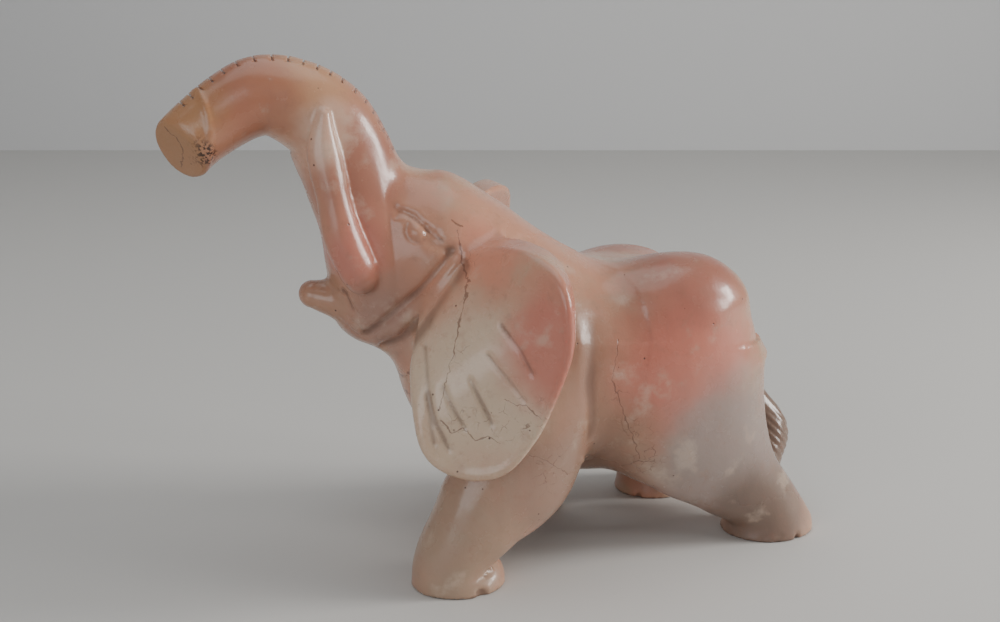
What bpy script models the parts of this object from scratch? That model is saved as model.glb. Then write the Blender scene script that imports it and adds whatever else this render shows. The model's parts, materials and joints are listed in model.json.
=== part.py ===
"""A carved stone elephant, striding with its trunk raised, in metres, +Z up, on its four soles.

The head is towards -X and the left flank, with the nearer ear, towards -Y. The figure is one
solid. Its pose, proportions and carving are shares of its height: every table below counts in
222ths of the height, so that one step is about a millimetre. A limb is a row of stations from
its front or top end to its rear or bottom end: x, y, z, half width, and the radius on its
upper or rear side and on its lower or front side.
"""
import bpy
import bmesh
import math
import numpy as np
import openvdb
from mathutils import Matrix

# Driving size
HEIGHT = 0.222
UNIT = HEIGHT / 222

# Where the figure's own tables lie in the part's frame, in units
MIDDLE = np.array([-24.95, 0.15, 0.0])

# Body, in units
TORSO = [
    (-44, 0, 90, 31, 34, 42),
    (-25, 0, 93, 40, 43, 50),
    (5, 0, 88, 45, 39, 55),
    (35, 0, 86, 47, 42, 56.5),
    (50, 0, 83, 44, 39.5, 50),
    (61, 0, 79, 42, 37, 46),
]
NEAR_FORE_LEG = [
    (-20, -27, 100, 21, 28, 32),
    (-27, -33, 75, 21, 28, 31),
    (-36, -37, 48, 18.5, 27, 28.5),
    (-51, -37, 30, 17.5, 19.5, 22.5),
    (-61, -36, 18, 16.5, 16.5, 17),
    (-64, -35, 9, 16.5, 15.5, 17),
    (-62, -34, 1, 19.5, 21, 21.5),
    (-62, -34, -4, 18, 19.5, 20),
]
NEAR_HIND_LEG = [
    (46.5, -27, 109, 26, 34, 38),
    (46.5, -28, 100, 26, 34.8, 39),
    (46.5, -29, 89, 26, 38, 43.5),
    (51.5, -31, 70, 24, 40.5, 45.5),
    (64, -33, 50, 20.5, 28, 38),
    (78, -34, 30, 17, 19, 25),
    (90, -34, 14, 16.5, 18, 17.5),
    (94.5, -33, 1, 19, 23, 23.5),
    (94.5, -33, -4, 17.5, 21.5, 22),
]
FAR_FORE_LEG = [
    (-22, 27, 100, 21, 28, 30),
    (-18, 33, 70, 20, 25, 27),
    (-10, 36, 40, 17.5, 22, 22.5),
    (-4, 37, 18, 16.5, 18.5, 18.5),
    (-2, 37, 1, 19, 21, 21),
    (-2, 37, -4, 17.5, 19.5, 19.5),
]
FAR_HIND_LEG = [
    (44, 27, 105, 24, 34, 36),
    (44, 28, 96, 24, 34.8, 37),
    (44.5, 29, 85, 25, 38, 41),
    (50, 32, 62, 22, 34, 36),
    (62, 34, 36, 17.5, 22, 24),
    (69, 35, 16, 16.5, 18, 18),
    (72, 35, 1, 19, 21.5, 21.5),
    (72, 35, -4, 17.5, 20, 20),
]
TAIL = [
    (84, -2, 98, 5, 5, 8),
    (91, -3, 78, 6, 5, 10),
    (102, -5, 56, 8, 7, 12),
    (109, -9, 40, 10, 10, 13),
    (104, -14, 27, 9, 9, 12),
]
LEG_BLEND = 14
TAIL_BLEND = 5
SOLE_SPARE = 4.0

# Head, in the head's own axes, which turn and lean about the neck
NECK = np.array([-20.0, 0.0, 130.0])
HEAD_TURN = math.radians(-12)
HEAD_LEAN = math.radians(4)
SKULL = [
    (-76, 0, 130, 25, 27, 31),
    (-62, 0, 131, 33, 42, 33),
    (-44, 0, 126, 36, 36, 33),
    (-20, 0, 112, 38, 32, 40),
    (6, 0, 94, 40, 33, 42),
]
TRUNK = [
    (-172, -12, 175, 13, 13, 13),
    (-151, -5, 192, 14.5, 15.8, 12.5),
    (-128, 0, 204, 16.5, 17.9, 15.3),
    (-106, 0, 197, 18.5, 19.3, 18.5),
    (-95.5, 0, 180.5, 20, 21, 20.5),
    (-88, 0, 158, 23, 21, 20),
    (-80, 0, 136, 25, 20, 19),
    (-72, 0, 118, 22, 18, 18),
]
TRUNK_END = np.array([-162.0, -9.0, 184.5])
TRUNK_END_FACES = np.array([-0.66, -0.60, -0.46])
JAW = [
    (-110, 0, 119.5, 8, 6, 6),
    (-98, 0, 117, 13, 8.5, 9.5),
    (-86, 0, 113, 21, 14, 16),
    (-70, 0, 116, 28, 20, 22),
]
TUSK = [
    (-103.5, 18, 200, 3, 2.5, 3),
    (-104, 20.5, 185, 5.5, 6.5, 7),
    (-101, 23, 167, 6.5, 6.8, 7),
    (-98, 25, 152, 7.5, 8, 8),
    (-92.5, 25.5, 138, 8.5, 8.5, 8),
    (-90.5, 25, 134, 8, 7.5, 7.5),
]
HEAD_BLEND = 15
JAW_BLEND = 4
TUSK_BLEND = 2

# Ears: a dished sheet, its outline as radii every thirty degrees from straight back, turning up
EAR_CENTRE = np.array([-42.0, 72.0, 105.0])
EAR_SPLAY = math.radians(16)
EAR_RADII = [28, 36, 47.5, 45, 40, 38, 36.5, 38.8, 47, 44.5, 32.5, 27]
EAR_HALF_THICKNESS = 3.5
EAR_ROOT_THICKNESS = 14
EAR_DISH = 5
EAR_INWARD = 28
EAR_BEND_START = -6
EAR_BEND_RUN = 38
EAR_BEND_MOST = 1.15
EAR_BLEND = 6
FAR_EAR_RISE = 5

# Carved strokes on the head's side view: x and z along the path, half width and depth
STROKES = [
    ([(-53, 145), (-55.8, 141), (-67, 127.4), (-79.6, 115), (-88, 106)], 2.4, 1.4),
    ([(-48, 141), (-51.2, 136.7), (-62.9, 120.7), (-73.5, 105.9), (-80, 100)], 2.8, 1.8),
    ([(-75, 161), (-68, 158.5), (-60, 152)], 2.2, 0.9),
    ([(-67.4, 152.8), (-67.2, 152.8)], 3.4, -0.9),
    ([(-62, 149), (-56, 146)], 2.8, 0.9),
]
STROKE_INNER = 6.0

# Fine cuts across the trunk's ridge, from the tip to the brow: place along the trunk, in stations
CUTS = 20
CUT_FROM = 0.95
CUT_TO = 4.2
CUT_WIDTH = 0.9
CUT_DEPTH = 2.2
CUT_LENGTH = 14

# Mesh: a grid of this grain within this room, first taken in long strides
ROOM = [(-160, 160), (-95, 95), (-8, 232)]
GRAIN = 2.2
STRIDE = 4
SETTLE_ROUNDS = 3
POLISH_ROUNDS = 4
SOLID_TRIANGLES = 8200
NEARBY = 15.0


def spline(rows, places, order=0):
    """Rows on a smooth curve through the given rows, at places counted in rows, or a derivative."""
    rows = np.asarray(rows, float)
    rows = np.vstack([2 * rows[:1] - rows[1:2], rows, 2 * rows[-1:] - rows[-2:-1]])
    a, b, c, d = rows[:-3], rows[1:-2], rows[2:-1], rows[3:]
    terms = np.stack([b, (c - a) / 2, a - 2.5 * b + 2 * c - d / 2, 1.5 * (b - c) + (d - a) / 2])
    start = np.clip(np.floor(places).astype(int), 0, len(b) - 1)
    t = (places - start)[:, None]
    k0, k1, k2, k3 = terms[:, start]
    if order == 1:
        return k1 + t * (2 * k2 + t * 3 * k3)
    if order == 2:
        return 2 * k2 + t * 6 * k3
    return k0 + t * (k1 + t * (k2 + t * k3))


def unit(vectors):
    return vectors / np.linalg.norm(vectors, axis=-1, keepdims=True)


def frames(rows, places):
    """Stations at places along a limb, with the directions along it, across it and up from it."""
    at = spline(rows, places)
    along = unit(spline(rows[:, :3], places, 1))
    across = unit(np.array([0.0, 1.0, 0.0]) - along[:, 1:2] * along)
    return at, along, across, np.cross(along, across)


def limb(points, rows):
    """Signed distance, negative inside, to a limb with a round section and round ends."""
    rows = np.asarray(rows, float)
    last = len(rows) - 1.0
    tries = np.linspace(0, last, 6 * (len(rows) - 1) + 1)
    line = spline(rows, tries)
    spread = (line[:, :3] ** 2).sum(1) - 2 * points @ line[:, :3].T
    nearest = spread.argmin(1)
    gap = np.sqrt(spread.min(1) + (points**2).sum(1)) - line[nearest, 3:].max(1)
    near = gap < NEARBY
    found = gap.copy()
    q = points[near]
    place = tries[nearest[near]]
    for _ in range(3):
        tangent = spline(rows[:, :3], place, 1)
        off = q - spline(rows[:, :3], place)
        speed = (tangent**2).sum(1)
        turn = speed - (off * spline(rows[:, :3], place, 2)).sum(1)
        step = (off * tangent).sum(1) / np.maximum(turn, 0.3 * speed)
        place = np.clip(place + step, 0, last)
    at, along, across, up = frames(rows, place)
    off = q - at[:, :3]
    high = (off * up).sum(1)
    radii = np.stack([at[:, 3], np.where(high > 0, at[:, 4], at[:, 5]), at[:, 3:].min(1)], 1)
    parts = np.stack([(off * across).sum(1), high, (off * along).sum(1)], 1) / radii
    whole = np.linalg.norm(parts, axis=1) + 1e-9
    found[near] = whole * (whole - 1) / (np.linalg.norm(parts / radii, axis=1) + 1e-9)
    return found


def join(a, b, blend):
    """The union of two distances, with a fillet about as wide as blend."""
    share = np.clip(0.5 + 0.5 * (b - a) / blend, 0, 1)
    return b + (a - b) * share - blend * share * (1 - share)


def cut(a, b, blend):
    """The common part of two distances, with a rounded edge."""
    return -join(-a, -b, blend)


def smooth(value, start, end):
    """0 below start and 1 above end, easing between."""
    t = np.clip((value - start) / (end - start), 0, 1)
    return t * t * (3 - 2 * t)


def stroke(points, path, width, depth):
    """Depth of a soft-edged chisel stroke along a path."""
    path = np.asarray(path, float)
    nearest = np.full(len(points), np.inf)
    for start, end in zip(path[:-1], path[1:]):
        run = end - start
        share = np.clip((points - start) @ run / (run @ run), 0, 1)
        nearest = np.minimum(nearest, ((points - start - share[:, None] * run) ** 2).sum(1))
    return depth * np.exp(-nearest / width**2)


def ear_place(points):
    """Backward, upward and outward places of points on the ear, from its centre."""
    off = points - EAR_CENTRE
    back = off[:, 0] * math.cos(EAR_SPLAY) + off[:, 1] * math.sin(EAR_SPLAY)
    out = -off[:, 0] * math.sin(EAR_SPLAY) + off[:, 1] * math.cos(EAR_SPLAY)
    return back, off[:, 2], out


def ear_radius(angle):
    """The ear's outline: how far it reaches at an angle, turning up from straight back."""
    turn = (angle / math.tau % 1) * len(EAR_RADII)
    rows = np.array(EAR_RADII * 3, float)[:, None]
    return spline(rows, turn + len(EAR_RADII))[:, 0]


def ear_middle(back, high):
    """How far out the ear's middle surface lies: dished, and turned in at its root."""
    reach = np.hypot(back, high)
    share = np.clip(reach / ear_radius(np.arctan2(high, back)), 0, 1)
    root = np.clip(((high - back) / math.sqrt(2) - EAR_BEND_START) / EAR_BEND_RUN, 0, EAR_BEND_MOST)
    return -EAR_DISH * (1 - share**2) ** 1.5 - EAR_INWARD * root**2


def ear(points):
    """Signed distance to an ear, on the side of +Y."""
    back, high, out = ear_place(points)
    reach = np.hypot(back, high)
    edge = ear_radius(np.arctan2(high, back))
    beyond = (reach / edge - 1) * 40
    above = out - ear_middle(back, high)
    wedge = EAR_ROOT_THICKNESS * smooth((high - back) / math.sqrt(2), -25, 20)
    half = EAR_HALF_THICKNESS + wedge / 2
    flat = np.abs(above + wedge / 2) - half
    soft = EAR_HALF_THICKNESS * 0.8
    return np.hypot(np.maximum(beyond + soft, 0), np.maximum(flat + soft, 0)) - soft


def head_axes():
    """The head's axes as columns: turned about the vertical, then leant about the muzzle's line."""
    turn = Matrix.Rotation(HEAD_TURN, 3, "Z") @ Matrix.Rotation(HEAD_LEAN, 3, "X")
    return np.array(turn)


def ears(points):
    """Signed distance to the pair of ears, from points in the head's axes."""
    rise = np.where(points[:, 1] > 0, FAR_EAR_RISE, 0)
    return ear(np.stack([points[:, 0], np.abs(points[:, 1]), points[:, 2] - rise], 1))


def head(points):
    """Signed distance to the head, neck, trunk and tusks, from points in the head's axes."""
    side = points * [1, 0, 1] + np.abs(points) * [0, 1, 0]
    shape = limb(points, SKULL)
    trunk = limb(points, TRUNK)
    shape = join(shape, cut(trunk, (points - TRUNK_END) @ unit(TRUNK_END_FACES), 3), HEAD_BLEND)
    shape = join(shape, limb(points, JAW), JAW_BLEND)
    shape = join(shape, limb(side, TUSK), TUSK_BLEND)
    flat = side[:, [0, 2]]
    marks = sum(stroke(flat, path, width, depth) for path, width, depth in STROKES)
    return shape + marks * smooth(side[:, 1], STROKE_INNER, 2 * STROKE_INNER)


def figure(points):
    """Signed distance to the whole elephant, from points in units."""
    points = points + MIDDLE
    shape = limb(points, TORSO)
    for leg in (NEAR_FORE_LEG, NEAR_HIND_LEG, FAR_FORE_LEG, FAR_HIND_LEG):
        shape = join(shape, limb(points, leg), LEG_BLEND)
    shape = join(shape, limb(points, TAIL), TAIL_BLEND)
    turned = NECK + (points - NECK) @ head_axes()
    shape = join(shape, head(turned), HEAD_BLEND)
    shape = join(shape, ears(turned), EAR_BLEND)
    return np.maximum(shape, -points[:, 2] - SOLE_SPARE)


def slope(points):
    """The figure's distance and its gradient, by small steps."""
    step = 0.05
    here = figure(points)
    ahead = [(figure(points + step * axis) - here) / step for axis in np.eye(3)]
    return here, np.stack(ahead, 1)


def cast():
    """The figure's surface, as a mesh of quads drawn through its distances on a fine grid."""
    sides = [np.arange(low, high, GRAIN) for low, high in ROOM]
    points = np.stack(np.meshgrid(*sides, indexing="ij"), -1)
    rough = figure(points[::STRIDE, ::STRIDE, ::STRIDE].reshape(-1, 3))
    depth = rough.reshape([len(side[::STRIDE]) for side in sides])
    for axis, side in enumerate(sides):
        depth = np.repeat(depth, STRIDE, axis).take(range(len(side)), axis)
    near = np.abs(depth) < 2 * STRIDE * GRAIN
    depth[near] = figure(points[near])
    grid = openvdb.FloatGrid(float(depth.max()))
    grid.copyFromArray(depth.astype(np.float32))
    corners, quads = grid.convertToQuads()
    start = np.array([low for low, high in ROOM])
    mesh = bpy.data.meshes.new("elephant")
    mesh.from_pydata((start + corners * GRAIN) * UNIT, [], quads[:, ::-1].tolist())
    return mesh


def apply(obj, kind, **settings):
    """Runs one modifier on an object and keeps its result as the object's mesh."""
    modifier = obj.modifiers.new(kind.title(), kind)
    for name, value in settings.items():
        setattr(modifier, name, value)
    graph = bpy.context.evaluated_depsgraph_get()
    done = bpy.data.meshes.new_from_object(obj.evaluated_get(graph))
    obj.modifiers.clear()
    obj.data = done


def drop_hollows(data):
    """Removes all but the largest closed surface."""
    mesh = bmesh.new()
    mesh.from_mesh(data)
    left = set(mesh.verts)
    islands = []
    while left:
        island = set()
        edge = {left.pop()}
        while edge:
            island |= edge
            edge = {e.other_vert(v) for v in edge for e in v.link_edges} - island
        left -= island
        islands.append(island)
    largest = max(islands, key=len)
    extra = [v for v in mesh.verts if v not in largest]
    bmesh.ops.delete(mesh, geom=extra, context="VERTS")
    mesh.to_mesh(data)
    mesh.free()


def settle(mesh, rounds):
    """Draws a mesh's points onto the figure's surface, spreading them evenly along it."""
    points = np.empty(len(mesh.vertices) * 3, np.float32)
    mesh.vertices.foreach_get("co", points)
    points = points.reshape(-1, 3).astype(float) / UNIT
    ends = np.empty(len(mesh.edges) * 2, np.int32)
    mesh.edges.foreach_get("vertices", ends)
    ends = ends.reshape(-1, 2)
    links = np.bincount(ends.ravel(), minlength=len(points))[:, None]
    for turn in range(rounds):
        depth, rise = slope(points)
        size = (rise**2).sum(1, keepdims=True) + 1e-6
        move = -np.clip(depth[:, None] * rise / size, -3, 3)
        if turn < rounds - 1:
            sums = np.zeros_like(points)
            np.add.at(sums, ends[:, 0], points[ends[:, 1]])
            np.add.at(sums, ends[:, 1], points[ends[:, 0]])
            drift = 0.5 * (sums / links - points)
            move += drift - (drift * rise).sum(1, keepdims=True) * rise / size
        points = points + move
    mesh.vertices.foreach_set("co", (points * UNIT).astype(np.float32).ravel())
    mesh.update()


def stone():
    material = bpy.data.materials.new("polished_stone")
    material.use_nodes = True
    shader = material.node_tree.nodes["Principled BSDF"]
    shader.inputs["Base Color"].default_value = (0.44, 0.24, 0.17, 1)
    shader.inputs["Roughness"].default_value = 0.3
    shader.inputs["Metallic"].default_value = 0.0
    return material


def notch(place, turn):
    """A thin cutter across the trunk's ridge at a place along it."""
    at, along, across, up = (rows[0] for rows in frames(np.array(TRUNK, float), np.array([place])))
    top = at[:3] + up * (at[4] - CUT_DEPTH + CUT_LENGTH / 2)
    mesh = bmesh.new()
    axes = np.eye(4)
    axes[:3, :3] = turn @ np.stack([along, across, up], 1)
    axes[:3, :3] *= np.array([CUT_WIDTH, CUT_LENGTH, CUT_LENGTH]) * UNIT
    axes[:3, 3] = (NECK + turn @ (top - NECK) - MIDDLE) * UNIT
    bmesh.ops.create_cube(mesh, size=1, matrix=Matrix(axes))
    return mesh


def sole_block():
    """A cutter whose top is the plane that the four soles stand on."""
    (left, right), (near, far), (bottom, _) = ROOM
    sides = np.array([right - left, far - near, -2 * bottom]) * UNIT
    mesh = bmesh.new()
    place = Matrix.Translation((0, 0, bottom * UNIT)) @ Matrix.Diagonal((*sides, 1))
    bmesh.ops.create_cube(mesh, size=1, matrix=place)
    block = bpy.data.meshes.new("sole_cut")
    mesh.to_mesh(block)
    mesh.free()
    return bpy.data.objects.new("sole_cut", block)


def notches():
    """All the cutters along the trunk's ridge, as one object."""
    turn = head_axes()
    whole = bpy.data.meshes.new("trunk_cuts")
    joined = bmesh.new()
    for place in np.linspace(CUT_FROM, CUT_TO, CUTS):
        piece = notch(place, turn)
        piece.to_mesh(whole)
        piece.free()
        joined.from_mesh(whole)
    joined.to_mesh(whole)
    joined.free()
    return bpy.data.objects.new("trunk_cuts", whole)


def collection(name):
    made = bpy.data.collections.new(name)
    bpy.context.scene.collection.children.link(made)
    return made


def main():
    for obj in list(bpy.data.objects):
        bpy.data.objects.remove(obj, do_unlink=True)
    parts = collection("elephant figurine")
    cutters = collection("cutters")

    elephant = bpy.data.objects.new("elephant", cast())
    parts.objects.link(elephant)
    drop_hollows(elephant.data)
    settle(elephant.data, SETTLE_ROUNDS)
    apply(elephant, "REMESH", mode="VOXEL", voxel_size=GRAIN * UNIT)
    drop_hollows(elephant.data)
    settle(elephant.data, SETTLE_ROUNDS)
    apply(elephant, "SMOOTH", factor=0.5, iterations=POLISH_ROUNDS)
    triangles = sum(len(face.vertices) - 2 for face in elephant.data.polygons)
    apply(elephant, "DECIMATE", ratio=SOLID_TRIANGLES / triangles)

    for cutter in (sole_block(), notches()):
        cutters.objects.link(cutter)
        cutter.hide_render = True
        cutter.display_type = "WIRE"
        apply(elephant, "BOOLEAN", object=cutter, operation="DIFFERENCE", solver="EXACT")
    elephant.data.shade_smooth()
    elephant.data.materials.clear()
    elephant.data.materials.append(stone())


main()
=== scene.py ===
# %% [markdown]
# # A carved stone elephant
# A striding elephant, carved from one block of marble and polished, with its trunk raised.
# The script loads the plain solid, draws a finer surface over the same shapes, cuts the fine
# carving into it, and then builds the stone's colour, veins and polish from nodes.

import bpy
import bmesh
import json
import math
import numpy as np
from mathutils import Matrix

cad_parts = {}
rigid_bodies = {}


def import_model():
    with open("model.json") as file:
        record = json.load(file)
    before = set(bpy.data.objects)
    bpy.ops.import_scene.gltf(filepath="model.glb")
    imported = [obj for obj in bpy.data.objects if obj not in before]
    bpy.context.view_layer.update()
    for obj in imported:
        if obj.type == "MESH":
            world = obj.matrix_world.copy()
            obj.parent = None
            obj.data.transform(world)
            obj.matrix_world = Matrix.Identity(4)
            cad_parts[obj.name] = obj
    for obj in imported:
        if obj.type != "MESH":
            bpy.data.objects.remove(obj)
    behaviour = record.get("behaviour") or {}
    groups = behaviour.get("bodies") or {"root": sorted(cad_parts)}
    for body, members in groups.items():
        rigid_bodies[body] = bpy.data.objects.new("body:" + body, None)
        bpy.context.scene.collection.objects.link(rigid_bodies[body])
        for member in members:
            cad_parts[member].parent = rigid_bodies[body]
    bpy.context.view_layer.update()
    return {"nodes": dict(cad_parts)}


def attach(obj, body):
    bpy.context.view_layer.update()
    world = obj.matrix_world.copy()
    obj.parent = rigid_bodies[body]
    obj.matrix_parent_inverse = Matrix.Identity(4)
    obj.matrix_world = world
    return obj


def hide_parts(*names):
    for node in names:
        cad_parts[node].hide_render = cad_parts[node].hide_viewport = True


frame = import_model()

# %% [markdown]
# ## Camera
# The camera stands in front of the elephant's left shoulder, a little above it, and looks down.
# A fixed place and lens are chosen, and not a fit to the object's box, so that each later change
# can be compared with the same frame.

# %% Camera
LENS = 46.8
camera = bpy.data.objects.new("camera", bpy.data.cameras.new("camera"))
camera.data.lens = LENS
camera.data.sensor_width = 36
camera.location = (-0.21365, -0.52145, 0.244)
camera.rotation_euler = (math.radians(90 - 13.5), 0, math.radians(-22))
bpy.context.scene.collection.objects.link(camera)
bpy.context.scene.camera = camera
print("camera at", tuple(round(v, 3) for v in camera.location), "lens", LENS, "mm")

# %% [markdown]
# ## The shapes
# A carver thinks of an animal as a few swelling forms. Each one here is a limb: a row of
# stations, with x, y, z, a half width, and a radius on its upper or rear side and on its lower
# or front side. They could be modelled by hand from a cage, but a table is easy to compare with
# the real piece and to correct. All tables count in units of about a millimetre.

# %% Body and legs
UNIT = 0.001
MIDDLE = np.array([-24.95, 0.15, 0.0])
# Body, in units
TORSO = [
    (-44, 0, 90, 31, 34, 42),
    (-25, 0, 93, 40, 43, 50),
    (5, 0, 88, 45, 39, 55),
    (35, 0, 86, 47, 42, 56.5),
    (50, 0, 83, 44, 39.5, 50),
    (61, 0, 79, 42, 37, 46),
]
NEAR_FORE_LEG = [
    (-20, -27, 100, 21, 28, 32),
    (-27, -33, 75, 21, 28, 31),
    (-36, -37, 48, 18.5, 27, 28.5),
    (-51, -37, 30, 17.5, 19.5, 22.5),
    (-61, -36, 18, 16.5, 16.5, 17),
    (-64, -35, 9, 16.5, 15.5, 17),
    (-62, -34, 1, 19.5, 21, 21.5),
    (-62, -34, -4, 18, 19.5, 20),
]
NEAR_HIND_LEG = [
    (46.5, -27, 109, 26, 34, 38),
    (46.5, -28, 100, 26, 34.8, 39),
    (46.5, -29, 89, 26, 38, 43.5),
    (51.5, -31, 70, 24, 40.5, 45.5),
    (64, -33, 50, 20.5, 28, 38),
    (78, -34, 30, 17, 19, 25),
    (90, -34, 14, 16.5, 18, 17.5),
    (94.5, -33, 1, 19, 23, 23.5),
    (94.5, -33, -4, 17.5, 21.5, 22),
]
FAR_FORE_LEG = [
    (-22, 27, 100, 21, 28, 30),
    (-18, 33, 70, 20, 25, 27),
    (-10, 36, 40, 17.5, 22, 22.5),
    (-4, 37, 18, 16.5, 18.5, 18.5),
    (-2, 37, 1, 19, 21, 21),
    (-2, 37, -4, 17.5, 19.5, 19.5),
]
FAR_HIND_LEG = [
    (44, 27, 105, 24, 34, 36),
    (44, 28, 96, 24, 34.8, 37),
    (44.5, 29, 85, 25, 38, 41),
    (50, 32, 62, 22, 34, 36),
    (62, 34, 36, 17.5, 22, 24),
    (69, 35, 16, 16.5, 18, 18),
    (72, 35, 1, 19, 21.5, 21.5),
    (72, 35, -4, 17.5, 20, 20),
]
TAIL = [
    (84, -2, 98, 5, 5, 8),
    (91, -3, 78, 6, 5, 10),
    (102, -5, 56, 8, 7, 12),
    (109, -9, 40, 10, 10, 13),
    (104, -14, 27, 9, 9, 12),
]
LEG_BLEND = 14
TAIL_BLEND = 5
SOLE_SPARE = 4.0
print("body:", len(TORSO), "stations, and four legs and a tail")

# %% Head, trunk and tusks
# Head, in the head's own axes, which turn and lean about the neck
NECK = np.array([-20.0, 0.0, 130.0])
HEAD_TURN = math.radians(-12)
HEAD_LEAN = math.radians(4)
SKULL = [
    (-76, 0, 130, 25, 27, 31),
    (-62, 0, 131, 33, 42, 33),
    (-44, 0, 126, 36, 36, 33),
    (-20, 0, 112, 38, 32, 40),
    (6, 0, 94, 40, 33, 42),
]
TRUNK = [
    (-172, -12, 175, 13, 13, 13),
    (-151, -5, 192, 14.5, 15.8, 12.5),
    (-128, 0, 204, 16.5, 17.9, 15.3),
    (-106, 0, 197, 18.5, 19.3, 18.5),
    (-95.5, 0, 180.5, 20, 21, 20.5),
    (-88, 0, 158, 23, 21, 20),
    (-80, 0, 136, 25, 20, 19),
    (-72, 0, 118, 22, 18, 18),
]
TRUNK_END = np.array([-162.0, -9.0, 184.5])
TRUNK_END_FACES = np.array([-0.66, -0.60, -0.46])
JAW = [
    (-110, 0, 119.5, 8, 6, 6),
    (-98, 0, 117, 13, 8.5, 9.5),
    (-86, 0, 113, 21, 14, 16),
    (-70, 0, 116, 28, 20, 22),
]
TUSK = [
    (-103.5, 18, 200, 3, 2.5, 3),
    (-104, 20.5, 185, 5.5, 6.5, 7),
    (-101, 23, 167, 6.5, 6.8, 7),
    (-98, 25, 152, 7.5, 8, 8),
    (-92.5, 25.5, 138, 8.5, 8.5, 8),
    (-90.5, 25, 134, 8, 7.5, 7.5),
]
HEAD_BLEND = 15
JAW_BLEND = 4
TUSK_BLEND = 2
print("trunk:", len(TRUNK), "stations; the tusks lie against it")

# %% Ears
# Ears: a dished sheet, its outline as radii every thirty degrees from straight back, turning up
EAR_CENTRE = np.array([-42.0, 72.0, 105.0])
EAR_SPLAY = math.radians(16)
EAR_RADII = [28, 36, 47.5, 45, 40, 38, 36.5, 38.8, 47, 44.5, 32.5, 27]
EAR_HALF_THICKNESS = 3.5
EAR_ROOT_THICKNESS = 14
EAR_DISH = 5
EAR_INWARD = 28
EAR_BEND_START = -6
EAR_BEND_RUN = 38
EAR_BEND_MOST = 1.15
EAR_BLEND = 6
FAR_EAR_RISE = 5
print("ears: outline of", len(EAR_RADII), "radii, up to", max(EAR_RADII), "mm")

# %% [markdown]
# ## Distances
# To join such forms with soft fillets, as carved stone has, each is written as a signed
# distance: negative inside, zero on the surface. A smooth minimum of two distances is a union
# with a fillet. Boolean unions of meshes would leave a sharp crease along each join.

# %% A smooth curve through a table
def spline(rows, places, order=0):
    """Rows on a smooth curve through the given rows, at places counted in rows, or a derivative."""
    rows = np.asarray(rows, float)
    rows = np.vstack([2 * rows[:1] - rows[1:2], rows, 2 * rows[-1:] - rows[-2:-1]])
    a, b, c, d = rows[:-3], rows[1:-2], rows[2:-1], rows[3:]
    terms = np.stack([b, (c - a) / 2, a - 2.5 * b + 2 * c - d / 2, 1.5 * (b - c) + (d - a) / 2])
    start = np.clip(np.floor(places).astype(int), 0, len(b) - 1)
    t = (places - start)[:, None]
    k0, k1, k2, k3 = terms[:, start]
    if order == 1:
        return k1 + t * (2 * k2 + t * 3 * k3)
    if order == 2:
        return 2 * k2 + t * 6 * k3
    return k0 + t * (k1 + t * (k2 + t * k3))


def unit(vectors):
    """The vectors made one long."""
    return vectors / np.linalg.norm(vectors, axis=-1, keepdims=True)


def frames(rows, places):
    """Stations at places along a limb, with the directions along it, across it and up from it."""
    at = spline(rows, places)
    along = unit(spline(rows[:, :3], places, 1))
    across = unit(np.array([0.0, 1.0, 0.0]) - along[:, 1:2] * along)
    return at, along, across, np.cross(along, across)


print("middle of the trunk:", spline(TRUNK, np.array([3.5]))[0, :3].round(1))

# %% Distance to one limb
NEARBY = 15.0


def limb(points, rows):
    """Signed distance, negative inside, to a limb with a round section and round ends."""
    rows = np.asarray(rows, float)
    last = len(rows) - 1.0
    tries = np.linspace(0, last, 6 * (len(rows) - 1) + 1)
    line = spline(rows, tries)
    spread = (line[:, :3] ** 2).sum(1) - 2 * points @ line[:, :3].T
    nearest = spread.argmin(1)
    gap = np.sqrt(spread.min(1) + (points**2).sum(1)) - line[nearest, 3:].max(1)
    near = gap < NEARBY
    found = gap.copy()
    q = points[near]
    place = tries[nearest[near]]
    for _ in range(3):
        tangent = spline(rows[:, :3], place, 1)
        off = q - spline(rows[:, :3], place)
        speed = (tangent**2).sum(1)
        turn = speed - (off * spline(rows[:, :3], place, 2)).sum(1)
        step = (off * tangent).sum(1) / np.maximum(turn, 0.3 * speed)
        place = np.clip(place + step, 0, last)
    at, along, across, up = frames(rows, place)
    off = q - at[:, :3]
    high = (off * up).sum(1)
    radii = np.stack([at[:, 3], np.where(high > 0, at[:, 4], at[:, 5]), at[:, 3:].min(1)], 1)
    parts = np.stack([(off * across).sum(1), high, (off * along).sum(1)], 1) / radii
    whole = np.linalg.norm(parts, axis=1) + 1e-9
    found[near] = whole * (whole - 1) / (np.linalg.norm(parts / radii, axis=1) + 1e-9)
    return found


print("from the belly's middle to its skin:", limb(np.array([[5.0, 0, 88]]), TORSO).round(1)[0])

# %% Joins, cuts and chisel strokes
def join(a, b, blend):
    """The union of two distances, with a fillet about as wide as blend."""
    share = np.clip(0.5 + 0.5 * (b - a) / blend, 0, 1)
    return b + (a - b) * share - blend * share * (1 - share)


def cut(a, b, blend):
    """The common part of two distances, with a rounded edge."""
    return -join(-a, -b, blend)


def smooth(value, start, end):
    """0 below start and 1 above end, easing between."""
    t = np.clip((value - start) / (end - start), 0, 1)
    return t * t * (3 - 2 * t)


def stroke(points, path, width, depth):
    """Depth of a soft-edged chisel stroke along a path."""
    path = np.asarray(path, float)
    nearest = np.full(len(points), np.inf)
    for start, end in zip(path[:-1], path[1:]):
        run = end - start
        share = np.clip((points - start) @ run / (run @ run), 0, 1)
        nearest = np.minimum(nearest, ((points - start - share[:, None] * run) ** 2).sum(1))
    return depth * np.exp(-nearest / width**2)


print("two touching surfaces, joined with a 10 mm fillet:", join(0.0, 0.0, 10))

# %% [markdown]
# ## Ears and head
# An ear is a dished sheet, thick at its root and rounded at its rim. The head has axes of its
# own, because it turns and leans on the neck.

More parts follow.
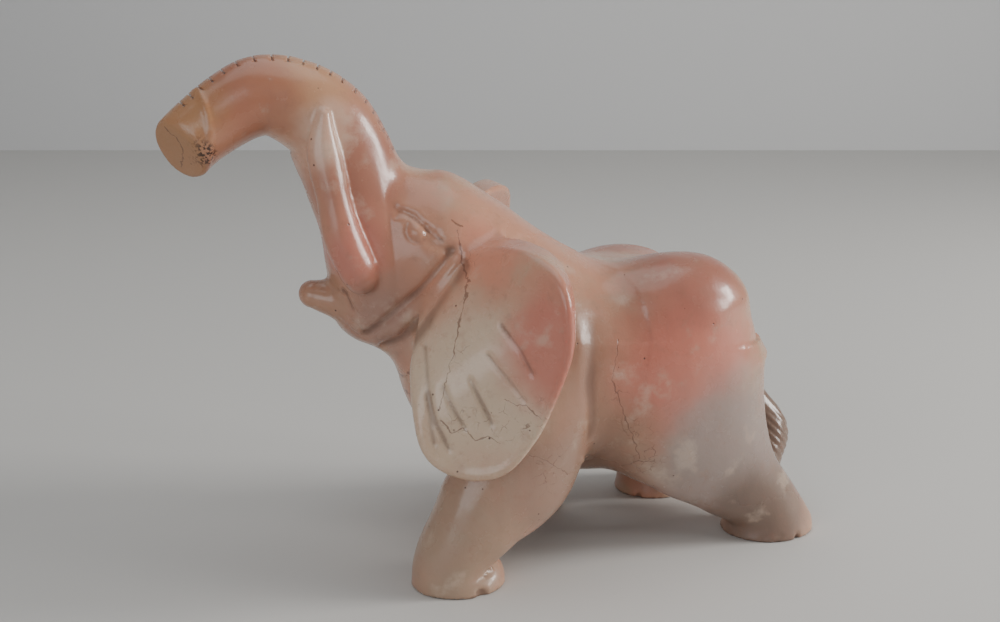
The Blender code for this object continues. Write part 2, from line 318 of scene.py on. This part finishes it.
# %% Ear
def ear_place(points):
    """Backward, upward and outward places of points on the ear, from its centre."""
    off = points - EAR_CENTRE
    back = off[:, 0] * math.cos(EAR_SPLAY) + off[:, 1] * math.sin(EAR_SPLAY)
    out = -off[:, 0] * math.sin(EAR_SPLAY) + off[:, 1] * math.cos(EAR_SPLAY)
    return back, off[:, 2], out


def ear_radius(angle):
    """The ear's outline: how far it reaches at an angle, turning up from straight back."""
    turn = (angle / math.tau % 1) * len(EAR_RADII)
    rows = np.array(EAR_RADII * 3, float)[:, None]
    return spline(rows, turn + len(EAR_RADII))[:, 0]


def ear_middle(back, high):
    """How far out the ear's middle surface lies: dished, and turned in at its root."""
    reach = np.hypot(back, high)
    share = np.clip(reach / ear_radius(np.arctan2(high, back)), 0, 1)
    root = np.clip(((high - back) / math.sqrt(2) - EAR_BEND_START) / EAR_BEND_RUN, 0, EAR_BEND_MOST)
    return -EAR_DISH * (1 - share**2) ** 1.5 - EAR_INWARD * root**2


def ear(points):
    """Signed distance to an ear, on the side of +Y."""
    back, high, out = ear_place(points)
    reach = np.hypot(back, high)
    edge = ear_radius(np.arctan2(high, back))
    beyond = (reach / edge - 1) * 40
    above = out - ear_middle(back, high)
    wedge = EAR_ROOT_THICKNESS * smooth((high - back) / math.sqrt(2), -25, 20)
    half = EAR_HALF_THICKNESS + wedge / 2
    flat = np.abs(above + wedge / 2) - half
    soft = EAR_HALF_THICKNESS * 0.8
    return np.hypot(np.maximum(beyond + soft, 0), np.maximum(flat + soft, 0)) - soft


print("the ear is", round(ear_radius(np.array([0.0]))[0], 1), "mm from centre to rear edge")

# %% Head
# Carved strokes on the head's side view: x and z along the path, half width and depth
STROKES = [
    ([(-53, 145), (-55.8, 141), (-67, 127.4), (-79.6, 115), (-88, 106)], 2.4, 1.4),
    ([(-48, 141), (-51.2, 136.7), (-62.9, 120.7), (-73.5, 105.9), (-80, 100)], 2.8, 1.8),
    ([(-75, 161), (-68, 158.5), (-60, 152)], 2.2, 0.9),
    ([(-67.4, 152.8), (-67.2, 152.8)], 3.4, -0.9),
    ([(-62, 149), (-56, 146)], 2.8, 0.9),
]
STROKE_INNER = 6.0


def head_axes():
    """The head's axes as columns: turned about the vertical, then leant about the muzzle's line."""
    turn = Matrix.Rotation(HEAD_TURN, 3, "Z") @ Matrix.Rotation(HEAD_LEAN, 3, "X")
    return np.array(turn)


def ears(points):
    """Signed distance to the pair of ears, from points in the head's axes."""
    rise = np.where(points[:, 1] > 0, FAR_EAR_RISE, 0)
    return ear(np.stack([points[:, 0], np.abs(points[:, 1]), points[:, 2] - rise], 1))


def head(points):
    """Signed distance to the head, neck, trunk and tusks, from points in the head's axes."""
    side = points * [1, 0, 1] + np.abs(points) * [0, 1, 0]
    shape = limb(points, SKULL)
    trunk = limb(points, TRUNK)
    shape = join(shape, cut(trunk, (points - TRUNK_END) @ unit(TRUNK_END_FACES), 3), HEAD_BLEND)
    shape = join(shape, limb(points, JAW), JAW_BLEND)
    shape = join(shape, limb(side, TUSK), TUSK_BLEND)
    flat = side[:, [0, 2]]
    marks = sum(stroke(flat, path, width, depth) for path, width, depth in STROKES)
    return shape + marks * smooth(side[:, 1], STROKE_INNER, 2 * STROKE_INNER)


print("head turned by", round(math.degrees(HEAD_TURN)), "degrees")

# %% Whole figure
def figure(points):
    """Signed distance to the whole elephant, from points in units."""
    points = points + MIDDLE
    shape = limb(points, TORSO)
    for leg in (NEAR_FORE_LEG, NEAR_HIND_LEG, FAR_FORE_LEG, FAR_HIND_LEG):
        shape = join(shape, limb(points, leg), LEG_BLEND)
    shape = join(shape, limb(points, TAIL), TAIL_BLEND)
    turned = NECK + (points - NECK) @ head_axes()
    shape = join(shape, head(turned), HEAD_BLEND)
    shape = join(shape, ears(turned), EAR_BLEND)
    return np.maximum(shape, -points[:, 2] - SOLE_SPARE)


print("the saddle's skin lies", round(float(figure(np.array([[0.0, 0, 150]]))[0]), 1), "mm off")

# %% [markdown]
# ## Fine carving
# The eye, its lid, the folds of the jaw, the grooves of the ears and the tuft of the tail are
# too fine for the plain solid. They are strokes of a soft-edged chisel: a path, a half width and
# a depth, where a negative depth raises a ridge. The head's strokes are drawn on its side view.

# %% Strokes on the head
EYE = (-67.3, 152.8)
EYE_SIZE = 4.3
turns = np.linspace(math.radians(150), math.radians(385), 13)
under_eye = [(EYE[0] + EYE_SIZE * math.cos(a), EYE[1] + EYE_SIZE * math.sin(a)) for a in turns]
HEAD_CARVING = [
    (under_eye, 0.8, 0.7),
    ([EYE, (EYE[0] + 0.1, EYE[1])], 3.0, -0.5),
    ([(-75.5, 158), (-72.5, 160), (-68, 157.6), (-63, 153), (-57, 149)], 0.75, 0.9),
    ([(-74, 162.2), (-67, 160), (-60, 153.8)], 1.5, -0.5),
    ([(-61.5, 148.5), (-56, 146)], 2.0, 0.4),
    ([(-53, 145), (-55.8, 141), (-67, 127.4), (-79.6, 115), (-88, 106)], 2.0, 0.8),
    ([(-53, 140), (-64.5, 124.5), (-76, 110)], 2.8, -0.6),
    ([(-48, 141), (-51.2, 136.7), (-62.9, 120.7), (-73.5, 105.9), (-80, 100)], 2.3, 0.9),
    ([(-97.5, 126), (-95, 121), (-93.5, 117)], 0.9, 0.8),
    ([(-99, 111), (-95, 108), (-91.5, 104.5)], 0.8, 0.4),
    ([(-96, 114), (-92, 110.5), (-89, 107)], 0.7, 0.35),
    ([(-108, 125.5), (-101, 124.5), (-96, 124.5)], 0.9, 0.6),
]
print(len(HEAD_CARVING), "strokes on each side of the head")

# %% Strokes on the ears, the trunk's tip and the flank
EAR_CARVING = [
    ([(2, 18), (10, 10), (15, 1)], 1.3, 0.75),
    ([(-3, 6), (5, -2), (12, -10)], 1.3, 0.75),
    ([(-10, -4), (-5, -13), (-1, -21)], 1.3, 0.75),
    ([(-27, -12), (-23, -22), (-18, -32)], 1.4, 0.8),
    ([(-21, -8), (-17, -15), (-12, -23)], 1.3, 0.75),
    ([(-30, 4), (-27.5, -8), (-26, -20), (-24, -30)], 1.6, 0.7),
]
COLLAR_FACES = np.array([0.918, 0.397, 0.014])
COLLAR_AT = -141.7
COLLAR_HEIGHT = 0.9
COLLAR_HALF_WIDTH = 1.1
FLANK_FOLD = [(-5, -46, 111), (-7, -51, 88), (-4, -46, 62)]
BELLY_KEEL = [(-9, -46, 52), (4, -43, 44), (17, -37, 38)]
TUFT = np.array([108.0, -11.0, 38.0])
TUFT_REACH = 13
LOCK_DEPTH = 0.4
LOCKS_RUN = [1.5, 0.4, 1.24]
CHIP_LENGTH = 11
CHIP_DEPTH = 2.2
CHIP_FROM = 0.45
RIM_AT = 0.93
RIM_HALF_WIDTH = 0.045
RIM_HEIGHT = 1.0
print(len(EAR_CARVING), "grooves on each ear")


# %% Waves left by hand polishing
def waves(points, length):
    """Soft ripples, about -1 to 1, from six crossing waves of about this length."""
    total = np.zeros(len(points))
    for i in range(6):
        turn, tilt = 2.4 * i, 0.9 * math.sin(1.7 * i)
        flat = math.cos(tilt)
        way = np.array([math.cos(turn) * flat, math.sin(turn) * flat, math.sin(tilt)])
        total += np.sin(points @ way * math.tau / (length * (0.8 + 0.09 * i)) + 1.3 * i * i)
    return total / 3


print("ripples at one point:", waves(np.array([[10.0, 20, 30]]), 20).round(2)[0])


# %% All the fine carving together
def relief(points):
    """How deep the fine carving goes at points in units."""
    body = points + MIDDLE
    turned = NECK + (body - NECK) @ head_axes()
    side = np.stack([turned[:, 0], np.abs(turned[:, 1]), turned[:, 2]], 1)
    cheek = smooth(side[:, 1], 5, 10) * smooth(-turned[:, 0], 42, 48) * smooth(ear(side), -5, -2)
    depth = sum(stroke(side[:, [0, 2]], path, w, d) for path, w, d in HEAD_CARVING) * cheek
    depth += ear_relief(side, turned)
    tip = smooth(-turned[:, 1], 2, 8) * smooth(turned[:, 2], 172, 180) * smooth(-turned[:, 0], 140, 144)
    from_collar = (turned @ COLLAR_FACES - COLLAR_AT) / COLLAR_HALF_WIDTH
    depth -= COLLAR_HEIGHT * tip * np.exp(-(from_collar**2))
    flank = body * [1, 0, 1] - np.abs(body) * [0, 1, 0]
    depth += stroke(flank, FLANK_FOLD, 4.0, 0.8) + stroke(flank, BELLY_KEEL, 1.5, -0.8)
    hair = np.exp(-((body - TUFT) ** 2).sum(1) / TUFT_REACH**2)
    depth += LOCK_DEPTH * hair * np.sin(body @ LOCKS_RUN)
    chips = smooth(-body[:, 2], -5, -1) * np.maximum(waves(points, CHIP_LENGTH) - CHIP_FROM, 0)
    return depth + CHIP_DEPTH * chips + 0.12 * waves(points, 22) + 0.05 * waves(points, 9)


def ear_relief(side, turned):
    """Grooves and the raised rim on the ears' outer faces."""
    rise = np.where(turned[:, 1] > 0, FAR_EAR_RISE, 0)
    back, high, out = ear_place(side - rise[:, None] * [0, 0, 1])
    share = np.hypot(back, high) / ear_radius(np.arctan2(high, back))
    face = smooth(out - ear_middle(back, high), 0, 2) * smooth(-share, -1.04, -1)
    flat = np.stack([back, high], 1)
    depth = sum(stroke(flat, path, w, d) for path, w, d in EAR_CARVING)
    rim = RIM_HEIGHT * np.exp(-(((share - RIM_AT) / RIM_HALF_WIDTH) ** 2)) * smooth(back - high, -25, 5)
    return face * (depth - rim)


print("the eye's ring is", round(float(HEAD_CARVING[0][2]), 1), "mm deep")

# %% [markdown]
# ## The surface
# The fine surface starts as a copy of the plain solid, remeshed into even, small faces. Its
# points then move onto the carved shape by a few Newton steps along the distance's slope, and
# slide sideways to stay evenly spread. A displacement map would need a much denser mesh.


# %% Draw points onto the carved shape
def carved(points):
    """Signed distance to the elephant with its fine carving, from points in units."""
    shape = figure(points)
    near = np.abs(shape) < 6
    shape[near] += relief(points[near])
    return np.maximum(shape, -points[:, 2])


def slope(points):
    """The carved figure's distance and its gradient, by small steps."""
    step = 0.05
    here = carved(points)
    ahead = [(carved(points + step * axis) - here) / step for axis in np.eye(3)]
    return here, np.stack(ahead, 1)


def settle(points, ends, rounds):
    """Points drawn onto the carved surface and spread evenly along it."""
    links = np.bincount(ends.ravel(), minlength=len(points))[:, None]
    for turn in range(rounds):
        depth, rise = slope(points)
        size = (rise**2).sum(1, keepdims=True) + 0.05
        move = -np.clip(depth[:, None] * rise / size, -1.5, 1.5)
        if turn < rounds - 1:
            sums = np.zeros_like(points)
            for column in range(3):
                for one, other in ((0, 1), (1, 0)):
                    weights = points[ends[:, other], column]
                    sums[:, column] += np.bincount(ends[:, one], weights, len(points))
            drift = 0.5 * (sums / links - points)
            move += drift - (drift * rise).sum(1, keepdims=True) * rise / size
        points = points + move
    return points


print("settling reads", 4, "distances for each point and round")


# %% Copy the solid and refine it
def numbers(items, name, width, kind=np.float32):
    """One property of every item of a mesh, as an array."""
    values = np.empty(len(items) * width, kind)
    items.foreach_get(name, values)
    return values.reshape(-1, width)


def apply(obj, kind, **settings):
    """Runs one modifier on an object and keeps its result as the object's mesh."""
    modifier = obj.modifiers.new(kind.title(), kind)
    for name, value in settings.items():
        setattr(modifier, name, value)
    graph = bpy.context.evaluated_depsgraph_get()
    done = bpy.data.meshes.new_from_object(obj.evaluated_get(graph))
    obj.modifiers.clear()
    obj.data = done


FINE = 1.05
FINE_TRIANGLES = 190000
stone = bpy.data.objects.new("elephant_stone", frame["nodes"]["elephant"].data.copy())
bpy.context.scene.collection.objects.link(stone)
apply(stone, "REMESH", mode="VOXEL", voxel_size=FINE * UNIT)
places = numbers(stone.data.vertices, "co", 3).astype(float) / UNIT
ends = numbers(stone.data.edges, "vertices", 2, np.int32)
places = settle(places, ends, 4)
places[:, 2] = np.maximum(places[:, 2], 0)
stone.data.vertices.foreach_set("co", (places * UNIT).astype(np.float32).ravel())
stone.data.update()
triangles = sum(len(face.vertices) - 2 for face in stone.data.polygons)
print("fine surface:", triangles, "triangles before thinning")

# %% Thin out the flat places
apply(stone, "DECIMATE", ratio=min(1.0, FINE_TRIANGLES / triangles))
print("after thinning:", len(stone.data.polygons), "faces")

# %% [markdown]
# ## Cuts across the trunk
# A row of thin saw cuts crosses the trunk's ridge, like the wrinkles of a real trunk. They are
# narrower than the mesh's own faces, so they are cut with a Boolean.

# %% Cut the wrinkles
# Fine cuts across the trunk's ridge, from the tip to the brow: place along the trunk, in stations
CUTS = 20
CUT_FROM = 0.95
CUT_TO = 4.2
CUT_WIDTH = 0.9
CUT_DEPTH = 2.2
CUT_LENGTH = 14


def notch(place, turn):
    """A thin cutter across the trunk's ridge at a place along it."""
    at, along, across, up = (rows[0] for rows in frames(np.array(TRUNK, float), np.array([place])))
    top = at[:3] + up * (at[4] - CUT_DEPTH + CUT_LENGTH / 2)
    mesh = bmesh.new()
    axes = np.eye(4)
    axes[:3, :3] = turn @ np.stack([along, across, up], 1)
    axes[:3, :3] *= np.array([CUT_WIDTH, CUT_LENGTH, CUT_LENGTH]) * UNIT
    axes[:3, 3] = (NECK + turn @ (top - NECK) - MIDDLE) * UNIT
    bmesh.ops.create_cube(mesh, size=1, matrix=Matrix(axes))
    return mesh


def notches():
    """All the cutters along the trunk's ridge, as one object."""
    turn = head_axes()
    whole = bpy.data.meshes.new("trunk_cuts")
    joined = bmesh.new()
    for place in np.linspace(CUT_FROM, CUT_TO, CUTS):
        piece = notch(place, turn)
        piece.to_mesh(whole)
        piece.free()
        joined.from_mesh(whole)
    joined.to_mesh(whole)
    joined.free()
    return bpy.data.objects.new("trunk_cuts", whole)


cutter = notches()
bpy.context.scene.collection.objects.link(cutter)
apply(stone, "BOOLEAN", object=cutter, operation="DIFFERENCE", solver="EXACT")
bpy.data.objects.remove(cutter, do_unlink=True)
stone.data.shade_smooth()
print("wrinkles cut:", CUTS)

# %% [markdown]
# ## Marks for the material
# Two facts about each point help the material: how deep it lies in a cut or a groove, where shade is
# painted into the colour and the polish is made duller, and whether it is on the trunk's end, which was
# sawn and left unpolished.


# %% Mark the painted groove shade and the raw end
def mark(name, values):
    """Stores one number for each point of the stone, under a name the material reads."""
    made = stone.data.attributes.new(name, "FLOAT", "POINT")
    made.data.foreach_set("value", values.astype(np.float32))


places = numbers(stone.data.vertices, "co", 3).astype(float) / UNIT
in_head = NECK + (places + MIDDLE - NECK) @ head_axes()
from_end = (in_head - TRUNK_END) @ unit(TRUNK_END_FACES)
near_end = smooth(-np.linalg.norm(in_head - TRUNK_END, axis=1), -30, -26)
mark("raw_end", smooth(from_end, -1.1, -0.6) * near_end)
# How deep each point lies in a cut or groove: the material paints shade there
in_cut = smooth(-figure(places), 0.35, 0.9)
mark("groove_shade", np.clip(in_cut + 0.5 * smooth(relief(places), 0.6, 1.1), 0, 1))
print("points in cuts and grooves:", int((in_cut > 0.5).sum()))

# %% [markdown]
# ## Writing a material as sums
# A stone's colour is a long chain of nodes. Wrapping a node's output in a small class lets the
# chain be written as sums and products, which is far easier to read than nodes made one by one.


# %% A wire that can be added and multiplied
class Wire:
    """An output of a node. Arithmetic on it adds Math nodes."""

    tree = None

    def __init__(self, socket):
        self.socket = socket

    @classmethod
    def node(cls, kind, settings=None, values=None, out=0):
        """Any node: its type, its settings, the values or wires of its sockets, its output."""
        made = cls.tree.nodes.new(kind)
        for name, value in (settings or {}).items():
            setattr(made, name, value)
        for key, value in (values or {}).items():
            if isinstance(value, Wire):
                cls.tree.links.new(value.socket, made.inputs[key])
            else:
                made.inputs[key].default_value = value
        return cls(made.outputs[out])

    def maths(self, operation, a, b=0.0):
        return Wire.node("ShaderNodeMath", {"operation": operation}, {0: a, 1: b})

    def __add__(self, other):
        return self.maths("ADD", self, other)

    def __sub__(self, other):
        return self.maths("SUBTRACT", self, other)

    def __rsub__(self, other):
        return self.maths("SUBTRACT", other, self)

    def __mul__(self, other):
        return self.maths("MULTIPLY", self, other)

    def most(self, other):
        return self.maths("MAXIMUM", self, other)

    def least(self, other):
        return self.maths("MINIMUM", self, other)

    __radd__ = __add__
    __rmul__ = __mul__


print("a wire knows", [name for name in vars(Wire) if not name.startswith("__")])


# %% Helpers for masks and colours
def paint(red, green, blue):
    """A colour as a screen shows it, 0 to 255, as the light that Blender counts in."""
    lights = [((v / 255 + 0.055) / 1.055) ** 2.4 for v in (red, green, blue)]
    return (*lights, 1)


def ease(value, start, end):
    """0 at start and 1 at end, easing between."""
    settings = {"interpolation_type": "SMOOTHSTEP"}
    values = {"Value": value, "From Min": start, "From Max": end}
    return Wire.node("ShaderNodeMapRange", settings, values)


def vector(operation, a, b=None, out=0, **more):
    """One operation on vectors, as a wire."""
    values = {0: a} if b is None else {0: a, 1: b}
    values.update(more)
    return Wire.node("ShaderNodeVectorMath", {"operation": operation}, values, out)


def blend(under, over, share):
    """One colour over another, by a share."""
    return Wire.node("ShaderNodeMix", {"data_type": "RGBA"}, {0: share, 6: under, 7: over}, 2)


def speckle(place, scale, detail=3.0, roughness=0.5, out=0):
    """Noise about 0.5, with this many waves to a millimetre."""
    values = {"Vector": place, "Scale": scale, "Detail": detail, "Roughness": roughness}
    return Wire.node("ShaderNodeTexNoise", {}, values, out)


print("salmon as light:", [round(v, 3) for v in paint(190, 122, 104)[:3]])

# %% [markdown]
# ## The stone
# The marble is cream and grey-white with salmon clouds. Places are measured in millimetres from
# the object's own origin, and bent a little by noise so that no cloud has a round edge. The far
# side mirrors the clouds, with its own noise, so it is in keeping without being a copy.

# %% Places on the stone
material = bpy.data.materials.new("marble")
material.use_nodes = True
Wire.tree = material.node_tree
shader = Wire.tree.nodes["Principled BSDF"]
place = vector("SCALE", Wire.node("ShaderNodeTexCoord", out=3), Scale=1000.0)
bend = vector("SUBTRACT", speckle(place, 0.028, 4, 0.55, out=1), (0.5, 0.5, 0.5))
bent = vector("ADD", place, vector("SCALE", bend, Scale=30.0))
parts = [Wire.node("ShaderNodeSeparateXYZ", {}, {0: bent}, out) for out in range(3)]
folded = parts[1].maths("ABSOLUTE", parts[1]) * -1.0
mirrored = Wire.node("ShaderNodeCombineXYZ", {}, {0: parts[0], 1: folded, 2: parts[2]})


def cloud(centre, radius, soft=0.45):
    """1 inside a soft ball, 0 outside."""
    far = vector("DISTANCE", mirrored, centre, out=1)
    return 1 - ease(far, radius * (1 - soft), radius * (1 + soft))


print("nodes so far:", len(Wire.tree.nodes))

# %% Broad clouds, with a painted shade under the belly
mottle = speckle(place, 0.055, 5, 0.6)
colour = blend(paint(193, 141, 117), paint(188, 153, 128), ease(mottle, 0.4, 0.62))
head_zone = ease(parts[0], -18, -52) * ease(parts[2], 96, 122)
colour = blend(colour, paint(180, 126, 102), head_zone * 0.85)
CLOUDS = [
    ((-90, 0, 214), 24, (190, 144, 110), 0.85),
    ((-114, -2, 206), 20, (168, 108, 84), 0.85),
    ((-140, -10, 200), 20, (170, 124, 86), 0.9),
    ((-66, -10, 176), 20, (166, 110, 92), 0.8),
    ((-84, -11, 190), 13, (206, 168, 146), 0.8),
    ((-73, -18, 145), 17, (190, 118, 102), 0.85),
    ((-60, -14, 113), 18, (160, 124, 110), 0.8),
    ((-84, -6, 121), 12, (172, 134, 110), 0.7),
    ((25, -48, 84), 34, (156, 116, 94), 0.85),
    ((6, -24, 146), 34, (198, 144, 118), 0.8),
    ((-40, -60, 92), 36, (202, 178, 154), 0.95),
    ((-8, -77, 112), 24, (192, 118, 100), 0.95),
    ((-24, -40, 148), 16, (204, 136, 112), 0.8),
    ((62, -56, 92), 31, (196, 120, 102), 0.95),
    ((70, -36, 130), 26, (158, 98, 84), 0.75),
    ((86, -50, 46), 34, (152, 137, 130), 0.9),
    ((-44, -44, 24), 30, (158, 134, 114), 0.8),
    ((0, -56, 46), 24, (148, 120, 104), 0.85),
    ((106, -46, 12), 26, (116, 96, 84), 0.9),
    ((132, -20, 46), 30, (112, 94, 82), 0.9),
    # Painted shade: the dark cloud under the belly and between the legs, where shadow falls
    ((30, -20, 40), 30, (120, 92, 76), 0.8),
    ((-50, 76, 132), 40, (132, 114, 100), 0.9),
]
for centre, radius, shade, share in CLOUDS:
    colour = blend(colour, paint(*shade), cloud(centre, radius) * share)
print("clouds:", len(CLOUDS))

# %% Mottling inside the clouds
fine = speckle(place, 0.22, 5, 0.65)
colour = blend(colour, paint(150, 104, 86), ease(fine, 0.52, 0.72) * 0.28)
colour = blend(colour, paint(222, 200, 180), ease(mottle, 0.56, 0.7) * 0.3)
print("mottling at about", round(1 / 0.22), "mm")

# %% [markdown]
# ## Veins, cracks and pits
# Thin dark veins follow old cracks in the stone. The main ones have places of their own and are
# drawn as lines on the side view. The fine network around them is the edges of Voronoi cells,
# shown only in patches. Small pits are dark dots in a few of such cells.

# %% Single veins
shiver = vector("SUBTRACT", speckle(place, 0.32, 3, out=1), (0.5, 0.5, 0.5))
shaken = vector("ADD", place, vector("SCALE", shiver, Scale=2.6))
side_view = vector("MULTIPLY", shaken, (1, 0, 1))
VEINS = [
    [(-31, 151), (-31, 141), (-32, 133), (-41, 111), (-47, 94), (-50, 84)],
    [(-50, 80), (-46, 75), (-42, 77), (-38, 72), (-33, 74), (-29, 71)],
    [(-27, 89), (-23, 87), (-20, 88), (-16, 83)],
    [(32, 104), (28, 87), (34, 73), (40, 60), (45, 48)],
    [(-12, 61), (-4, 57), (7, 49)],
    [(-142, 194), (-138, 190), (-136, 186), (-135, 177)],
    [(-33, 155), (-29, 152)],
    [(40, 43), (45, 47), (53, 46)],
]


def vein(path):
    """Distance to a path on the side view, in millimetres."""
    nearest = None
    for (x0, z0), (x1, z1) in zip(path[:-1], path[1:]):
        run = (x1 - x0, 0, z1 - z0)
        off = vector("SUBTRACT", side_view, (x0, 0, z0))
        along = vector("DOT_PRODUCT", off, run, out=1) * (1 / (run[0] ** 2 + run[2] ** 2))
        along = along.most(0.0).least(1.0)
        foot = vector("SCALE", run, Scale=along)
        far = vector("LENGTH", vector("SUBTRACT", off, foot), out=1)
        nearest = far if nearest is None else nearest.least(far)
    return nearest


thickness = ease(speckle(place, 0.17, 3), 0.42, 0.66) * 0.22
veins = None
for path in VEINS:
    line = 1 - ease(vein(path) - thickness, 0.0, 0.2)
    veins = line if veins is None else veins.most(line)
print("veins:", len(VEINS))

# %% Network of cracks, and pits
cells = {"Vector": shaken, "Scale": 0.19}
cell_edge = Wire.node("ShaderNodeTexVoronoi", {"feature": "DISTANCE_TO_EDGE"}, cells)
network = 1 - ease(cell_edge, 0.004, 0.04)
PATCHES = [
    ((-49, -55, 77), 6), ((-41, -58, 76), 6), ((-34, -62, 77), 6), ((-27, -66, 83), 6), ((-19, -71, 87), 8),
    ((-54, -50, 88), 5), ((-44, -52, 103), 5), ((0, -54, 55), 9), ((48, -44, 46), 10),
    ((30, -48, 82), 6), ((39, -46, 60), 7), ((-32, -34, 142), 6),
]
patches = None
for centre, radius in PATCHES:
    patch = cloud(centre, radius, 0.6)
    patches = patch if patches is None else patches.most(patch)
broken = ease(speckle(place, 0.35, 2), 0.42, 0.6)
network = network * (patches * broken + ease(mottle, 0.58, 0.68) * 0.12)
pit_cells = {"Vector": place, "Scale": 0.16, "Randomness": 1.0}
pit_far = Wire.node("ShaderNodeTexVoronoi", {}, pit_cells, 0)
pit_shade = Wire.node("ShaderNodeTexVoronoi", {}, pit_cells, 1)
pit_pick = Wire.node("ShaderNodeSeparateXYZ", {}, {0: pit_shade})
pits = (1 - ease(pit_far, 0.05, 0.09)) * ease(pit_pick, 0.72, 0.74)
print("patches with a fine network:", len(PATCHES))

# %% Colour with veins, painted groove shade and the raw end
groove_shade = Wire.node("ShaderNodeAttribute", {"attribute_name": "groove_shade"}, out=2)
raw_end = Wire.node("ShaderNodeAttribute", {"attribute_name": "raw_end"}, out=2)
dark = veins.most(network)
colour = blend(colour, paint(168, 124, 88), raw_end * 0.85)
colour = blend(colour, paint(96, 66, 52), dark * 0.62)
crust = cloud((-130.5, -8, 182), 6, 0.5) * ease(speckle(place, 0.8, 3), 0.48, 0.56)
colour = blend(colour, paint(58, 38, 30), crust * 0.95)
colour = blend(colour, paint(70, 48, 38), pits * 0.9)
# Painted shade: cuts and grooves darkened where shadow falls in them
colour = blend(colour, paint(92, 62, 48), groove_shade * 0.55)
Wire.tree.links.new(colour.socket, shader.inputs["Base Color"])
print("nodes in the colour:", len(Wire.tree.nodes))

# %% [markdown]
# ## Polish
# The stone is waxed and polished by hand, so it shines softly and unevenly. The soles and the
# trunk's end are duller. Light goes a little way into marble, which softens its edges.

# %% Shine and grain
feet = 1 - ease(Wire.node("ShaderNodeSeparateXYZ", {}, {0: place}, 2), 2, 26)
gloss = speckle(place, 0.09, 4) * 0.18 + 0.17
gloss = gloss + raw_end * 0.35 + feet * 0.14 + groove_shade * 0.2
Wire.tree.links.new(gloss.socket, shader.inputs["Roughness"])
grain = speckle(place, 0.9, 4, 0.6) * 0.5 + speckle(place, 0.16, 3) * 0.9
grain = grain - pits * 1.2 - dark * 0.5 - crust * 2.0 + raw_end * speckle(place, 1.6, 4) * 1.5
bump = Wire.node("ShaderNodeBump", {}, {"Strength": 0.35, "Distance": 0.00035, "Height": grain})
Wire.tree.links.new(bump.socket, shader.inputs["Normal"])
shader.inputs["Coat Weight"].default_value = 0.22
shader.inputs["Coat Roughness"].default_value = 0.1
shader.inputs["Subsurface Weight"].default_value = 0.15
shader.inputs["Subsurface Radius"].default_value = (1.0, 0.5, 0.35)
shader.inputs["Subsurface Scale"].default_value = 0.004
stone.data.materials.clear()
stone.data.materials.append(material)
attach(stone, "root")
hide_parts("elephant")
print("material nodes:", len(Wire.tree.nodes))

# %% [markdown]
# ## Studio
# A plain pale floor and wall. A window on the right and a smaller one below it make the bright
# patches on the polish. A broad weaker light fills in from the left, and one from above.


# %% Floor and wall
def plain(name, size, place, tilt, shade):
    """A matt square sheet of the studio."""
    mesh = bpy.data.meshes.new(name)
    sheet = bmesh.new()
    bmesh.ops.create_grid(sheet, x_segments=1, y_segments=1, size=size / 2)
    sheet.to_mesh(mesh)
    sheet.free()
    made = bpy.data.objects.new(name, mesh)
    made.location = place
    made.rotation_euler = tilt
    surface = bpy.data.materials.new(name)
    surface.use_nodes = True
    surface.node_tree.nodes["Principled BSDF"].inputs["Base Color"].default_value = shade
    surface.node_tree.nodes["Principled BSDF"].inputs["Roughness"].default_value = 0.7
    mesh.materials.append(surface)
    bpy.context.scene.collection.objects.link(made)
    return made


floor = plain("floor", 6, (0, 0, -0.0002), (0, 0, 0), paint(206, 204, 200))
wall = plain("wall", 6, (0.55, 1.5, 2), (math.radians(90), 0, math.radians(-22)), paint(206, 206, 206))
print("floor and wall:", floor.name, wall.name)


# %% Lights
def lamp(name, place, aim, size, watts, shade=(1, 1, 1)):
    """A soft rectangular light that looks at a point."""
    light = bpy.data.lights.new(name, "AREA")
    light.shape = "RECTANGLE"
    light.size, light.size_y = size
    light.energy = watts
    light.color = shade
    made = bpy.data.objects.new(name, light)
    made.location = place
    way = np.array(aim) - np.array(place)
    tilt = math.atan2(math.hypot(way[0], way[1]), -way[2])
    made.rotation_euler = (tilt, 0, math.atan2(-way[0], way[1]))
    bpy.context.scene.collection.objects.link(made)
    return made


lamp("window", (1.4, -0.5, 0.66), (0, 0, 0.1), (0.45, 0.6), 19, (1, 0.98, 0.95))
lamp("low_window", (1.3, -0.95, 0.42), (0, 0, 0.1), (0.3, 0.35), 6, (1, 0.98, 0.95))
lamp("fill", (-1.35, -1.2, 0.7), (0, 0, 0.1), (1.4, 1.2), 12, (0.97, 0.98, 1))
lamp("sky", (-0.1, 0.1, 1.7), (0, 0, 0.1), (1.6, 1.6), 10)
world = bpy.data.worlds.new("studio")
world.use_nodes = True
world.node_tree.nodes["Background"].inputs["Color"].default_value = paint(200, 204, 208)
world.node_tree.nodes["Background"].inputs["Strength"].default_value = 0.35
bpy.context.scene.world = world
